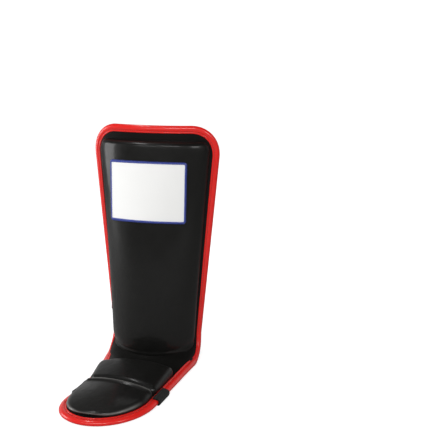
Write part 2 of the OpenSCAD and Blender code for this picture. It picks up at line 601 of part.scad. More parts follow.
module left_calf_flap() { calf_flap(1, slit_left); }
module left_top_hem() { flap_hem(1, 1); }
module left_slit_binding() { slit_binding(1, slit_left); }
module left_bottom_hem() { flap_hem(1, -1); }
module right_calf_flap() { calf_flap(-1, slit_right); }
module right_top_hem() { flap_hem(-1, 1); }
module right_slit_binding() { slit_binding(-1, slit_right); }
module right_bottom_hem() { flap_hem(-1, -1); }

// Closing straps: sewn on at the left, they cross over both flaps to the right.
patch_gap = 0.1;
stack = 2 * (hook_t + patch_gap) + 0.3 + elastic_t / 2;
function strap_rise(x, z) = x < 0 ? lap_rise(x, z) + flap_t / 2 + stack
    : lerp(flap_t / 2 + 0.3 + elastic_t / 2, lap_step + flap_t / 2 + stack,
        ease(1 - x / side_half(z)));
// A band over the flaps from a to b in x and z, with the given width, between heights h0 and h1.
module band(a, b, width, h0, h1, n, on_flap = false) {
    d = unit(b - a);
    function at(t, k, h) = let(p = lerp(a, b, t) + [-d[1], d[0]] * width / 2 * k,
            up = on_flap ? lap_rise(p[0], p[1]) : strap_rise(p[0], p[1]))
        [p[0], flap_y(p[0], p[1]) + up + h, p[1]];
    grid_solid([for (i = [0:n]) [for (k = [1, 0.5, 0, -0.5, -1]) at(i / n, k, h0)]],
               [for (i = [0:n]) [for (k = [1, 0.5, 0, -0.5, -1]) at(i / n, k, h1)]]);
}
upper_a = [side_half(upper_strap_z) - 9, upper_strap_z];
upper_b = [-upper_end, upper_strap_z + upper_climb];
lower_a = [side_half(lower_strap_z) - 3, lower_strap_z];
lower_b = [-lower_end, lower_strap_z + lower_climb];
tab_a = lower_b - [2 * seam_gap, 0];
tab_b = [-side_half(lower_strap_z) - tab_reach, lower_strap_z + lower_climb + 1];
hook_h = -elastic_t / 2 - patch_gap - hook_t;

module upper_strap() {
    color("#333333") band(upper_a, upper_b, strap_w, -elastic_t / 2, elastic_t / 2, 16);
}

module upper_hook_patch() {
    color("#0c0c0c") band(lerp(upper_a, upper_b, 0.78), lerp(upper_a, upper_b, 0.98),
        strap_w - 4, hook_h, hook_h + hook_t, 4);
}

module upper_loop_patch() {
    color("#2a2a2a") band([-upper_end + loop_lap, upper_strap_z - loop_drop],
        [-upper_end + loop_lap - loop_len, upper_strap_z - loop_drop],
        strap_w, flap_t / 2 + patch_gap, flap_t / 2 + patch_gap + hook_t, 6, true);
}

module lower_strap() {
    color("#333333") band(lower_a, lower_b, strap_w, -elastic_t / 2, elastic_t / 2, 14);
}

module lower_hook_tab() {
    color("#0c0c0c") band(tab_a, tab_b, strap_w - 2, hook_h, elastic_t / 2, 5);
}

module lower_loop_patch() {
    color("#2a2a2a") band([-24, lower_strap_z + lower_climb], [-lower_end - 15, lower_strap_z +
        lower_climb], strap_w - 4, flap_t / 2 + patch_gap, flap_t / 2 + patch_gap + hook_t, 5, true);
}

shin_base_panel();
shin_lining();
shin_foam_core();
shin_pad_cover();
shin_binding();
label_patch();
label_border();
instep_base_panel();
instep_lining();
rear_instep_foam();
rear_instep_cover();
toe_foam();
toe_cover();
instep_binding();
foot_strap();
left_calf_flap();
left_top_hem();
left_slit_binding();
left_bottom_hem();
right_calf_flap();
right_top_hem();
right_slit_binding();
right_bottom_hem();
upper_strap();
upper_hook_patch();
upper_loop_patch();
lower_strap();
lower_hook_tab();
lower_loop_patch();
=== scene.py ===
import bpy
import numpy as np
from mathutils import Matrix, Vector
from mathutils.bvhtree import BVHTree


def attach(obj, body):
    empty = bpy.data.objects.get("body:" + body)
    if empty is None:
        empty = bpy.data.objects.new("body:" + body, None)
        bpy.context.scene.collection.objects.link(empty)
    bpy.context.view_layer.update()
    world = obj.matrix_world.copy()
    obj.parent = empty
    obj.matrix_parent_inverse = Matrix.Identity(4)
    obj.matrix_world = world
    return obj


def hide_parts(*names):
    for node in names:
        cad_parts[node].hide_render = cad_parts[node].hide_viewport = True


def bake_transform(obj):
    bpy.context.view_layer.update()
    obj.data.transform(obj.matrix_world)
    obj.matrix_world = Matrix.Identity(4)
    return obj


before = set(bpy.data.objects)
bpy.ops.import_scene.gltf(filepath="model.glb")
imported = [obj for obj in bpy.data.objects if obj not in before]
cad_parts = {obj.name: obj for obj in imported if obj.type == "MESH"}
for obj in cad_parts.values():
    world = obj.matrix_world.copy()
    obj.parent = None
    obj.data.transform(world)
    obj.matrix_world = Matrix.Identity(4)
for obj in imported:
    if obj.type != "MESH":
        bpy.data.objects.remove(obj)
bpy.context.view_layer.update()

# ---- Camera ----
# A studio camera looks down at the guard's front from its left side, low enough to see along the
# foot part.
scene = bpy.context.scene


def placed(name, data):
    """A new object in the scene."""
    thing = bpy.data.objects.new(name, data)
    scene.collection.objects.link(thing)
    return thing


camera = placed("camera", bpy.data.cameras.new("camera"))
camera.data.lens = 63.3
camera.location = (0.3231, -0.8653, 0.4793)
view_at = Vector((0.09143, 0.13595, 0.2202))
camera.rotation_euler = (view_at - camera.location).to_track_quat("-Z", "Y").to_euler()
scene.camera = camera

# ---- Studio ----
# White floor and white surroundings. Broad softboxes stand in front and at both sides. Two narrow
# ones, one high above and one in front, draw the thin lights along the pads' edges.
white = (1, 1, 1, 1)


def cleared(block):
    """The empty node tree of a new material or world."""
    block.use_nodes = True
    block.node_tree.nodes.clear()
    return block.node_tree


def add_node(tree, kind, inputs=None, **settings):
    node = tree.nodes.new(kind)
    for key, value in settings.items():
        setattr(node, key, value)
    for key, value in (inputs or {}).items():
        if isinstance(value, bpy.types.NodeSocket):
            tree.links.new(value, node.inputs[key])
        else:
            node.inputs[key].default_value = value
    return node


def shade(tree, kind, inputs=None, out=0, **settings):
    """One output of a new shader node, for the next node to read."""
    return add_node(tree, "ShaderNode" + kind, inputs, **settings).outputs[out]


def new_material(name, along_cloth=False):
    """A material, its empty tree, and the place that its patterns read."""
    material = bpy.data.materials.new(name)
    tree = cleared(material)
    if along_cloth:
        return material, tree, shade(tree, "UVMap", uv_map="UVMap")
    return material, tree, shade(tree, "TexCoord", out="Object")


def ranged(tree, value, low, high, to_low, to_high):
    return shade(tree, "MapRange", {"Value": value, "From Min": low, "From Max": high,
                 "To Min": to_low, "To Max": to_high})


def camera_rays(tree):
    return shade(tree, "LightPath", out="Is Camera Ray")


floor_material, tree, place = new_material("white_floor")
far = shade(tree, "VectorMath", {0: place}, "Value", operation="LENGTH")
lift = shade(tree, "Math", {0: camera_rays(tree), 1: ranged(tree, far, 0.1, 0.55, 0.72, 1.0)},
             operation="MULTIPLY")
matt = shade(tree, "BsdfDiffuse", {"Color": (0.55, 0.55, 0.55, 1)})
glow = shade(tree, "Emission", {"Color": white, "Strength": lift})
both = shade(tree, "AddShader", {0: matt, 1: glow})
add_node(tree, "ShaderNodeOutputMaterial", {"Surface": both})
floor_mesh = bpy.data.meshes.new("floor")
floor_mesh.from_pydata([(-5, -5, 0), (5, -5, 0), (5, 5, 0), (-5, 5, 0)], [], [(0, 1, 2, 3)])
floor_mesh.materials.append(floor_material)
floor = placed("floor", floor_mesh)

world = bpy.data.worlds.new("studio")
tree = cleared(world)
way = shade(tree, "TexCoord", out="Generated")
behind = ranged(tree, shade(tree, "SeparateXYZ", {"Vector": way}, "Y"), 0.1, 0.85, 0.08, 1.3)
low = ranged(tree, shade(tree, "SeparateXYZ", {"Vector": way}, "Z"), 0.3, 0.65, 1.0, 0.08)
near_floor = shade(tree, "Math", {0: behind, 1: low}, operation="MULTIPLY")
strength = shade(tree, "Math", {0: camera_rays(tree), 1: near_floor}, operation="MAXIMUM")
sky = shade(tree, "Background", {"Color": white, "Strength": strength})
add_node(tree, "ShaderNodeOutputWorld", {"Surface": sky})
scene.world = world
scene.view_settings.view_transform = "Standard"


def softbox(name, place, aim, size, power):
    lamp = bpy.data.lights.new(name, "AREA")
    lamp.shape = "RECTANGLE"
    lamp.size, lamp.size_y = size
    lamp.energy = power
    lamp_object = placed(name, lamp)
    lamp_object.location = place
    lamp_object.rotation_euler = (Vector(aim) - Vector(place)).to_track_quat("-Z", "Y").to_euler()


softbox("left_softbox", (-1.3, -0.1, 0.4), (0, 0.1, 0.15), (0.6, 0.7), 10.5)
softbox("front_softbox", (0.2, -1.4, 1.1), (0, 0.05, 0.2), (0.9, 0.4), 16)
softbox("top_softbox", (-0.45, 0.05, 1.4), (0, 0.05, 0.05), (0.7, 0.12), 4)
softbox("right_softbox", (1.3, -0.9, 0.9), (0, 0.05, 0.2), (0.4, 0.5), 8)
softbox("rim_softbox", (-0.55, -1.3, 0.78), (0, 0, 0.1), (0.5, 0.1), 2.5)

# ---- Base panel ----
# One sheet of stiff fibre board faced with black synthetic leather, moulded to the front of the
# leg and foot. It carries every other piece, and it shows as a recess round the pads.
top_z = 337.5                      # middle of the binding at the top edge
top_half, ankle_half, neck_half, foot_half = 91, 64, 65, 57.5
top_depth, ankle_depth = 20, 38
lean_back = 3
corner_r = 38
edge_r, ridge_r = 34, 32
rise, rise_falls = 8, 0.3          # the foot part's arch, and the share it loses by the toes
side_run, half_strap, toe_run, toe_len = 96, 15, 6, 61  # lengths along the foot part's edge
toe_turn, flex_a = 8, 54
turn_from, turn_ease = 60, 30      # the foot part turns inwards from here, and eases into it
level_run = 15                     # from the ankle bend's centre to the upright foot sections
waist, waist_run = 9, 75           # the foot part's right edge is drawn in beside the ankle
panel_t, panel_inset, lining_inset = 4, 2.5, 3.5


def sin(a):
    return np.sin(np.radians(a))


def cos(a):
    return np.cos(np.radians(a))


def tan(a):
    return np.tan(np.radians(a))


def lerp(a, b, t):
    return a + (b - a) * t


def ease(t):
    t = np.clip(t, 0, 1)
    return t * t * (3 - 2 * t)


def unit(p):
    return p / np.maximum(np.linalg.norm(p, axis=-1, keepdims=True), 1e-9)


edge_z = 4.21                      # middle of the binding on the foot part
edge_y = edge_r + side_run + half_strap
tip_y = -half_strap - toe_run - toe_len
round_y = tip_y + toe_len
turn_y = edge_y - turn_from
edge_c = np.array([edge_y - edge_r, edge_z + edge_r])
edge_s = edge_c + edge_r * np.array([cos(lean_back), -sin(lean_back)])
ridge_s_z = edge_z + rise + ridge_r * (1 - sin(lean_back))
ridge_s = np.array([edge_s[0] + (ridge_s_z - edge_s[1]) * tan(lean_back) - ankle_depth, ridge_s_z])
ridge_c = ridge_s - ridge_r * np.array([cos(lean_back), -sin(lean_back)])
level_y = ridge_c[0] - level_run
shin_len = (top_z - ridge_s_z) / cos(lean_back)
bend_len = ridge_r * np.pi / 2
edge_arc = edge_r * np.radians(90 - flex_a)
edge_run = edge_arc + edge_c[0] - level_y


def edge_line(z):
    return edge_s[0] + (z - edge_s[1]) * tan(lean_back)


def toe_f(y, inset=0):
    return np.sqrt(np.clip(1 - (np.maximum(0, round_y - y) / (toe_len - inset)) ** 2, 0, 1))


def tilt(y):
    slope = rise * (1 - rise_falls * (ridge_c[0] - y) / (ridge_c[0] - tip_y)) / foot_half
    return 2 * np.degrees(np.arctan(slope))


def level_at(v):
    return lerp(level_y, tip_y, (v - 2.5) * 2)


# Stations v run down the shell: 0 top edge, 1 start of the ankle bend, 2 flex line, 2.5 start of
# the upright foot sections, 3 tip of the toes. Shares k run from -1 to 1 across it.
def edge_at(v):
    a = lerp(lean_back, flex_a, v - 1)
    run = (v - 2) * 2 * edge_run
    b = flex_a + np.degrees(run / edge_r)
    over = edge_c[0] - run + edge_arc
    y = np.select([v <= 1, v <= 2, (v <= 2.5) & (run < edge_arc), v <= 2.5],
                  [lerp(edge_line(top_z), edge_s[0], v), edge_c[0] + edge_r * cos(a),
                   edge_c[0] + edge_r * cos(b), over], level_at(v))
    z = np.select([v <= 1, v <= 2, (v <= 2.5) & (run < edge_arc)],
                  [lerp(top_z, edge_s[1], v), edge_c[1] - edge_r * sin(a),
                   edge_c[1] - edge_r * sin(b)], edge_z)
    return y, z


def ridge_at(v):
    a = lerp(lean_back, 90, v - 1)
    y = np.where(v <= 2.5, lerp(ridge_c[0], level_y, (v - 2) * 2), level_at(v))
    u = (ridge_c[0] - y) / (ridge_c[0] - tip_y)
    foot_z = edge_z + rise * (1 - rise_falls * u) * toe_f(y)
    return (np.select([v <= 1, v <= 2], [lerp(edge_line(top_z) - top_depth, ridge_s[0], v),
                                         ridge_c[0] + ridge_r * cos(a)], y),
            np.select([v <= 1, v <= 2], [lerp(top_z, ridge_s[1], v),
                                         ridge_c[1] - ridge_r * sin(a)], foot_z))


def half_at(v):
    return np.select([v <= 1, v <= 2, v <= 2.5],
                     [lerp(top_half, ankle_half, v), lerp(ankle_half, neck_half, ease(v - 1)),
                      lerp(neck_half, foot_half, ease((v - 2) * 2))],
                     foot_half * toe_f(level_at(v)))


def shift_at(v):
    d = turn_y - edge_at(v)[0]
    eased = np.where(d > 0, d * d / (2 * turn_ease), 0)
    return -tan(toe_turn) * np.where(d > turn_ease, d - turn_ease / 2, eased)


def rim_at(v):
    (ey, ez), (cy, cz) = edge_at(v), ridge_at(v)
    arc = 2 * np.degrees(np.arctan2(np.hypot(ey - cy, ez - cz), np.maximum(half_at(v), 1e-6)))
    return np.where(v > 2.5, tilt(level_at(v)), arc)


def drawn_in(y, k):
    return waist * cos(90 * np.clip(y / waist_run, -1, 1)) ** 2 * (1 - k) / 2


def floats(*values):
    return np.broadcast_arrays(*[np.asarray(value, float) for value in values])


def shell(v, k):
    v, k = floats(v, k)
    (ey, ez), (cy, cz), r = edge_at(v), ridge_at(v), rim_at(v)
    q = (1 - cos(k * r)) / (1 - cos(r))
    y = lerp(cy, ey, q)
    return np.stack([shift_at(v) + half_at(v) * sin(k * r) / sin(r) + drawn_in(y, k), y,
                     lerp(cz, ez, q)], -1)


def normal(v, k):
    v = np.minimum(v, 2.985)
    return unit(np.cross(shell(v + 0.012, k) - shell(v - 0.012, k),
                         shell(v, k + 0.02) - shell(v, k - 0.02)))


def off(v, k, h):
    return shell(v, k) + normal(v, k) * np.asarray(h)[..., None]


def outward(v, s):
    return unit(shell(v, s) - shell(v, s * 0.97))


def lim(v, inset):
    v = np.asarray(v, float)
    along = unit(shell(v + 0.01, 1.0) - shell(v - 0.01, 1.0))
    square = np.linalg.norm(np.cross(outward(v, 1.0), along), axis=-1)
    d = inset / np.maximum(square, 0.3)
    speed = np.linalg.norm(shell(v, 1.0) - shell(v, 0.9), axis=-1) / 0.1
    y, r = level_at(v), rim_at(v)
    half = (foot_half - cos(tilt(y)) / cos(toe_turn) * inset) * toe_f(y, np.minimum(inset, 50))
    share = np.degrees(np.arcsin(np.clip(half / np.maximum(1, half_at(v)), 0, 1) * sin(r))) / r
    return np.where(v <= 2.5, 1 - d / np.maximum(speed, 1), share)


def v_of(m):
    m = np.asarray(m, float)
    y = ridge_c[0] - (m - shin_len - bend_len)
    foot = np.where(y > level_y, 2 + (ridge_c[0] - y) / (ridge_c[0] - level_y) / 2,
                    2.5 + (level_y - y) / (level_y - tip_y) / 2)
    return np.select([m < shin_len, m < shin_len + bend_len],
                     [m / shin_len, 1 + (m - shin_len) / bend_len], foot)


def m_of_y(y):
    return shin_len + bend_len + ridge_c[0] - y


def corner_in(d, r):
    return np.where(d >= r, 0, r - np.sqrt(np.clip(r * r - (r - np.minimum(d, r)) ** 2, 0, None)))


def make_piece(name, points, faces, material, uvs):
    """A mesh object from points in millimetres, with its faces turned outwards."""
    points = np.asarray(points, float).reshape(-1, 3)
    tri = np.array([(f[0], f[i], f[i + 1]) for f in faces for i in range(1, len(f) - 1)])
    a, b, c = points[tri[:, 0]], points[tri[:, 1]], points[tri[:, 2]]
    if np.einsum("ij,ij->", a, np.cross(b, c)) < 0:
        faces = [f[::-1] for f in faces]
    mesh = bpy.data.meshes.new(name)
    mesh.from_pydata([tuple(p) for p in points * 0.001], [], faces)
    corners = np.empty(len(mesh.loops), np.int32)
    mesh.loops.foreach_get("vertex_index", corners)
    layer = mesh.uv_layers.new(name="UVMap")
    layer.data.foreach_set("uv", (uvs[corners] * 0.001).ravel())
    mesh.materials.append(material)
    mesh.shade_smooth()
    mesh.set_sharp_from_angle(angle=np.radians(48))
    return placed(name, mesh)


def run_along(points, axis=0):
    """How far each point is along its row or column of points."""
    first = points[:1] if axis == 0 else points[:, :1]
    return np.linalg.norm(np.diff(points, axis=axis, prepend=first), axis=-1).cumsum(axis)


def sheet_piece(name, front, back, material):
    """A closed sheet between two grids of points, with a map that runs along the cloth."""
    n, m = front.shape[:2]
    across = run_along(front, 1)
    uv = np.stack([across - across[:, m // 2, None], run_along(front)], -1).reshape(-1, 2)
    ids = np.arange(n * m).reshape(n, m)
    q = np.stack([ids[:-1, :-1], ids[:-1, 1:], ids[1:, 1:], ids[1:, :-1]], -1).reshape(-1, 4)
    rim = np.concatenate([ids[0, :], ids[1:, -1], ids[-1, -2::-1], ids[-2:0:-1, 0]])
    nxt = np.roll(rim, -1)
    edge = np.stack([nxt, rim, rim + n * m, nxt + n * m], -1)
    faces = np.concatenate([q, (q + n * m)[:, ::-1], edge]).tolist()
    return make_piece(name, np.concatenate([front.reshape(-1, 3), back.reshape(-1, 3)]), faces,
                      material, np.concatenate([uv, uv]))


def mixed(tree, share, one, two):
    """One colour that turns into another. Each is three numbers or a node's output."""
    one, two = [c if isinstance(c, bpy.types.NodeSocket) else (*c, 1) for c in (one, two)]
    return shade(tree, "Mix", {"Factor": share, 6: one, 7: two}, 2, data_type="RGBA")


def toned(tree, share, colour, dark, light):
    """One colour between two strengths of it."""
    return mixed(tree, share, [c * dark for c in colour], [c * light for c in colour])


def noise(tree, place, scale, detail, distortion=0.0):
    return shade(tree, "TexNoise", {"Vector": place, "Scale": scale, "Detail": detail,
                 "Distortion": distortion})


def bumped(tree, height, strength, depth, under=None):
    """A bump, depth in metres, on top of another one where that is given."""
    lower = {} if under is None else {"Normal": under}
    return shade(tree, "Bump", {"Height": height, "Strength": strength, "Distance": depth, **lower})


def surfaced(material, colour, rough, bump, shine):
    """The material with its surface: colour, roughness, bump, and its shine or fuzz."""
    skin = shade(material.node_tree, "BsdfPrincipled", {"Base Color": colour, "Roughness": rough,
                 "Normal": bump, **shine})
    add_node(material.node_tree, "ShaderNodeOutputMaterial", {"Surface": skin})
    return material


def black_leather(name, gloss, crease, shine):
    """Black synthetic leather: a fine pebbled grain, faint creases and a satin top coat.

    A pale grey is painted over it where a point attribute marks a painted highlight along a folded edge."""
    material, tree, place = new_material(name)
    grain = shade(tree, "TexVoronoi", {"Vector": place, "Scale": 900.0}, feature="SMOOTH_F1")
    fold = noise(tree, place, 75.0, 4.0, 0.6)
    tone = mixed(tree, noise(tree, place, 26.0, 3.0), (0.0045, 0.0045, 0.0041), (0.0075, 0.0073, 0.0067))
    # Painted highlight: the attribute sets how much pale grey is painted over the leather's tone.
    painted_edge_light = shade(tree, "Attribute", out="Fac", attribute_name="painted_edge_light")
    return surfaced(material, mixed(tree, painted_edge_light, tone, (0.20, 0.195, 0.185)),
                    ranged(tree, fold, 0.3, 0.7, gloss - 0.05, gloss + 0.07),
                    bumped(tree, fold, crease, 0.0012, bumped(tree, grain, 0.22, 0.0004)),
                    {"Specular IOR Level": 0.12 * shine, "Coat Weight": 0.22 * shine,
                     "Coat Roughness": 0.14})


panel_leather = black_leather("panel_leather", 0.46, 0.25, 0.35)


def panel_grid(h, inset):
    """A grid of points over the whole shell at height h, with its outline drawn in by inset."""
    cols, nose_run = 61, 16
    r = corner_r - inset
    ms = np.concatenate([inset + r * (1 - cos(np.linspace(0, 90, 12))),
                         np.linspace(corner_r, shin_len, 40)[1:],
                         shin_len + bend_len * np.linspace(0, 1, 16)[1:],
                         m_of_y(np.linspace(ridge_c[0], round_y, 26)[1:]),
                         m_of_y(round_y - (toe_len - inset) * sin(np.linspace(0, 86, 16)[1:]))])
    v = v_of(ms)
    w = lim(v, inset + corner_in(ms - inset, r))
    nose = 0.5 * h * np.clip((ms - ms[-1] + nose_run) / 12, 0, 1)
    return off(v[:, None], w[:, None] * np.linspace(-1, 1, cols)[None, :],
               (h - nose)[:, None] + np.zeros((len(ms), cols)))


base_panel = sheet_piece("base_panel", panel_grid(panel_t / 2, panel_inset),
                         panel_grid(-panel_t / 2, panel_inset), panel_leather)
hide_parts("shin_base_panel", "instep_base_panel")
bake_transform(base_panel)

# ---- Lining ----
# The guard's inside: matt black knitted cloth over the whole back of the panel, where that lies
# against the leg. It is glued to the panel, and the binding covers its cut edge.


def waves(tree, place, scale, axis, distortion=0.0, detail=2.0, detail_scale=1.0):
    return shade(tree, "TexWave", {"Vector": place, "Scale": scale, "Distortion": distortion,
                 "Detail": detail, "Detail Scale": detail_scale}, bands_direction=axis)


def crossed(tree, one, two, how="MULTIPLY"):
    return shade(tree, "Math", {0: one, 1: two}, operation=how)


def knit(name, colour, scale, depth):
    """Knitted cloth: small rows of loops with a soft, fuzzy surface."""
    material, tree, place = new_material(name, along_cloth=True)
    weave = crossed(tree, waves(tree, place, scale, "X", 1.2, 1.0, 6.0),
                    waves(tree, place, scale * 0.8, "Y", 1.2, 1.0, 6.0))
    tone = toned(tree, weave, colour, 0.62, 1.35)
    return surfaced(material, mixed(tree, noise(tree, place, 60.0, 5.0), tone, colour), 0.85,
                    bumped(tree, weave, 0.5, depth),
                    {"Specular IOR Level": 0.12, "Sheen Weight": 0.04, "Sheen Roughness": 0.5})


lining_knit = knit("lining_knit", (0.0075, 0.0075, 0.0078), 330.0, 0.0004)
lining_t, glue_gap = 1.2, 0.25
lining_h = -panel_t / 2 - glue_gap
lining = sheet_piece("lining", panel_grid(lining_h, lining_inset),
                     panel_grid(lining_h - lining_t, lining_inset), lining_knit)
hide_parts("shin_lining", "instep_lining")
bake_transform(lining)

# ---- Shin pad ----
# A thick foam block under black synthetic leather, sewn to the panel all round. It is full in the
# middle and thins towards both sides. Over the ankle bend its front runs straight down.
pad_h0 = panel_t / 2
pad_edge_r, pad_sink = 7, 0.6
pad_pressure, sim_frames = 1.5, 12
shin_pad_t, shin_pad_side = 15.7, 0.3
shin_pad_inset, shin_pad_corner = 10, 15
shin_pad_ends = (15.5, shin_len + 33)
shin_pad_give, instep_pad_give = 0.0015, 0.0012  # how far a cover may swell, in metres
bend_share = 0.35                  # how thin it may get in the bend
crown = 0.3                        # the share of its width that keeps the full thickness


def side_fall(c, side):
    return 1 - (1 - side) * np.clip((np.abs(c) - crown) / (1 - crown), 0, 1) ** 2


def thinned(v, t):
    a = lerp(lean_back, 90, np.clip(v - 1, 0, 0.9))
    wall = ridge_r - pad_h0 - (ridge_r - pad_h0 - t) * cos(lean_back) / cos(a)
    return np.where(v > 2, t, np.maximum(t * bend_share, np.minimum(t, wall)))


def quarter_round(t):
    return np.sqrt(np.clip(1 - (1 - np.clip(t, 0, 1)) ** 2, 0, 1))


def pad_piece(name, ends, inset, corner, height, skew, rows=72, swell=(0, 0), end_r=pad_edge_r,
              highlight_share_of=None):
    """A padded block over the shell between two places down the ridge, with rounded edges.

    It swells out sideways above its seam, by one amount on its left and another on its right."""
    rim_d = 1 - cos(np.linspace(0, 90, 10))
    m0, m1 = ends
    ms = np.concatenate([m0 + pad_edge_r * rim_d, np.linspace(m0 + pad_edge_r, m1 - end_r, rows)[1:-1],
                         m1 - end_r * rim_d[::-1]])
    v = v_of(ms)
    near = np.minimum(ms - m0, m1 - ms)
    w = lim(v, inset + corner_in(near, corner))
    half = w * np.linalg.norm(shell(v, 0.5) - shell(v, 0.0), axis=-1) / 0.5
    edge = (pad_edge_r / np.maximum(half, pad_edge_r * 3))[:, None]
    side = 1 - edge * rim_d[None, :]
    c = np.concatenate([side, side[:, -1:] * np.linspace(1, -1, 53)[None, 1:-1], -side[:, ::-1]], 1)
    rise_m = quarter_round(np.minimum((ms - m0) / pad_edge_r, (m1 - ms) / end_r))[:, None]
    rise_c = quarter_round((1 - np.abs(c)) / edge)
    full = 1 - np.clip(np.sqrt((1 - rise_m) ** 2 + (1 - rise_c) ** 2), 0, 1)
    vv = v_of(ms[:, None] + skew(ms)[:, None] * half[:, None] * c)
    base = pad_h0 + np.zeros_like(c)
    top = off(vv, w[:, None] * c, base + thinned(v[:, None], height(ms[:, None], c)) * full)
    out = np.sin(np.pi * np.clip(full * 0.62 + 0.08, 0, 1)) * np.clip(near / 8, 0, 1)[:, None]
    top[..., 0] += out * np.where(c > 0, swell[0], -swell[1]) * np.clip(np.abs(c), 0, 1) ** 3
    piece = sheet_piece(name, top, off(vv, w[:, None] * c, base - pad_sink), pad_leather)
    # The share of painted highlight at each point of the outer face, kept as a point attribute for the
    # leather.
    if highlight_share_of is not None:
        share = highlight_share_of(ms[:, None], c, full).ravel()
        layer = piece.data.attributes.new("painted_edge_light", "FLOAT", "POINT")
        layer.data.foreach_set("value", np.concatenate([share, 0 * share]))
    return piece


def corners_of(mesh):
    flat = np.empty(len(mesh.vertices) * 3)
    mesh.vertices.foreach_get("co", flat)
    return flat.reshape(-1, 3)


def pad_sim(piece, cap):
    """Lets the cover swell over its foam as cloth held along its seams, then keeps the shape."""
    mesh = piece.data
    rest = corners_of(mesh)
    group = piece.vertex_groups.new(name="seam")
    seam = set(range(len(rest) // 2, len(rest)))
    for edge in mesh.edges:
        if (edge.vertices[0] in seam) != (edge.vertices[1] in seam):
            group.add(list(edge.vertices), 1.0, "REPLACE")
    group.add(list(seam), 1.0, "REPLACE")
    cloth = piece.modifiers.new("cloth", "CLOTH")
    for key, value in {"quality": 6, "mass": 0.4, "tension_stiffness": 25,
                       "compression_stiffness": 25, "bending_stiffness": 4, "use_pressure": True,
                       "uniform_pressure_force": pad_pressure, "vertex_group_mass": "seam"}.items():
        setattr(cloth.settings, key, value)
    cloth.settings.effector_weights.gravity = 0
    cloth.collision_settings.use_collision = False
    cloth.point_cache.frame_start, cloth.point_cache.frame_end = 1, sim_frames
    for step in range(1, sim_frames + 1):
        scene.frame_set(step)
    swollen = piece.evaluated_get(bpy.context.evaluated_depsgraph_get()).to_mesh()
    move = corners_of(swollen) - rest
    length = np.linalg.norm(move, axis=1, keepdims=True)
    move *= np.minimum(1, cap / np.maximum(length, 1e-9))
    piece.modifiers.remove(cloth)
    piece.vertex_groups.clear()
    mesh.vertices.foreach_set("co", (rest + move).ravel())
    mesh.update()
    scene.frame_set(1)


pad_leather = black_leather("pad_leather", 0.42, 0.35, 1.0)
shin_pad = pad_piece("shin_pad", shin_pad_ends, shin_pad_inset, shin_pad_corner,
                     lambda m, c: shin_pad_t * side_fall(c, shin_pad_side), lambda m: m * 0)
pad_sim(shin_pad, shin_pad_give)
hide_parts("shin_foam_core", "shin_pad_cover")
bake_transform(shin_pad)

# ---- Instep pads ----
# Two smaller foam blocks under the same leather, with a groove between them that lets the foot part
# bend. The rear one lies over the instep. The toe pad is rounded and thins towards the toes. Pale
# lines of painted highlight run along its folded rear edge and round its front.
instep_pad_inset, instep_pad_side = 6.5, 0.85
rear_pad_t, rear_pad_end_t, toe_pad_t, toe_pad_end_t = 14.7, 8.5, 11.2, 4.5
instep_pad_corner = 6
pad_gap, groove_turn = 4, 9
roll_h, roll_at, roll_w = 2.2, 5.5, 3.2  # the toe pad's folded rear edge
# How far from the toe pad's rear end its line of painted highlight lies, and how wide it is.
highlight_at, highlight_w = 5.0, 1.5
rear_pad_y, rear_pad_len = ridge_c[0] - level_run, 56
rear_pad_end_y = rear_pad_y - rear_pad_len
rear_pad_ends = (m_of_y(rear_pad_y), m_of_y(rear_pad_end_y))
toe_pad_ends = (m_of_y(rear_pad_end_y - pad_gap), m_of_y(tip_y + instep_pad_inset))


def share_along(m, ends):
    """How far m is between two places down the ridge, as a share."""
    return (m - ends[0]) / (ends[1] - ends[0])


def groove_skew(m):
    nearest = np.minimum(share_along(m, rear_pad_ends), 1 - share_along(m, toe_pad_ends))
    return tan(groove_turn) * np.maximum(0, nearest)


def rear_height(m, c):
    t = np.clip(share_along(m, rear_pad_ends), 0, 1)
    return lerp(rear_pad_t, rear_pad_end_t, t ** 1.5) * side_fall(c, instep_pad_side)


def toe_height(m, c):
    t = np.clip(share_along(m, toe_pad_ends), 0, 1)
    rolled_edge = roll_h * np.exp(-((m - toe_pad_ends[0] - roll_at) / roll_w) ** 2)
    return lerp(toe_pad_t, toe_pad_end_t, t ** 1.4) * side_fall(c, instep_pad_side) + rolled_edge


def toe_painted_highlight(m, c, full):
    """The painted highlight: a pale line along the toe pad's rear edge, and one round its front."""
    run = m - toe_pad_ends[0]
    rear = np.exp(-((run - highlight_at) / highlight_w) ** 2) * np.clip((0.95 - np.abs(c)) * 12, 0, 1)
    front = 0.7 * np.exp(-((full - 0.7) / 0.15) ** 2) * np.clip((run - 30) / 16, 0, 1)
    return np.clip(rear + front, 0, 1)


rear_pad = pad_piece("rear_instep_pad", rear_pad_ends, instep_pad_inset, instep_pad_corner,
                     rear_height, groove_skew, 26, (0.5, 5))
toe_pad = pad_piece("toe_pad", toe_pad_ends, instep_pad_inset, instep_pad_corner, toe_height,
                    groove_skew, 44, (1.5, 3.5), 4.5, toe_painted_highlight)
for pad, cad in ((rear_pad, "rear_instep"), (toe_pad, "toe")):
    pad_sim(pad, instep_pad_give)
    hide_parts(cad + "_foam", cad + "_cover")
    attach(pad, "instep")

# ---- Edge binding ----
# A strip of red synthetic leather folded round the panel's edge and lockstitched through. The fold
# is a full round roll outside the stitches, and a thin lip lies inside them.
binding_w, binding_t = 11, 7
binding_roll = binding_t * 0.4     # radius of the roll's corners in the solid
binding_seam = -3.0                # the stitch line, from the middle of the binding
seam_front, seam_back = 2.35, -2.3
strap_lift, lift_past, lift_run = 2.1, 3.6, 2.5
binding_stitch, hem_stitch = (3.6, 2.9, 0.8), (3.4, 2.7, 0.7)  # pitch, length, thickness


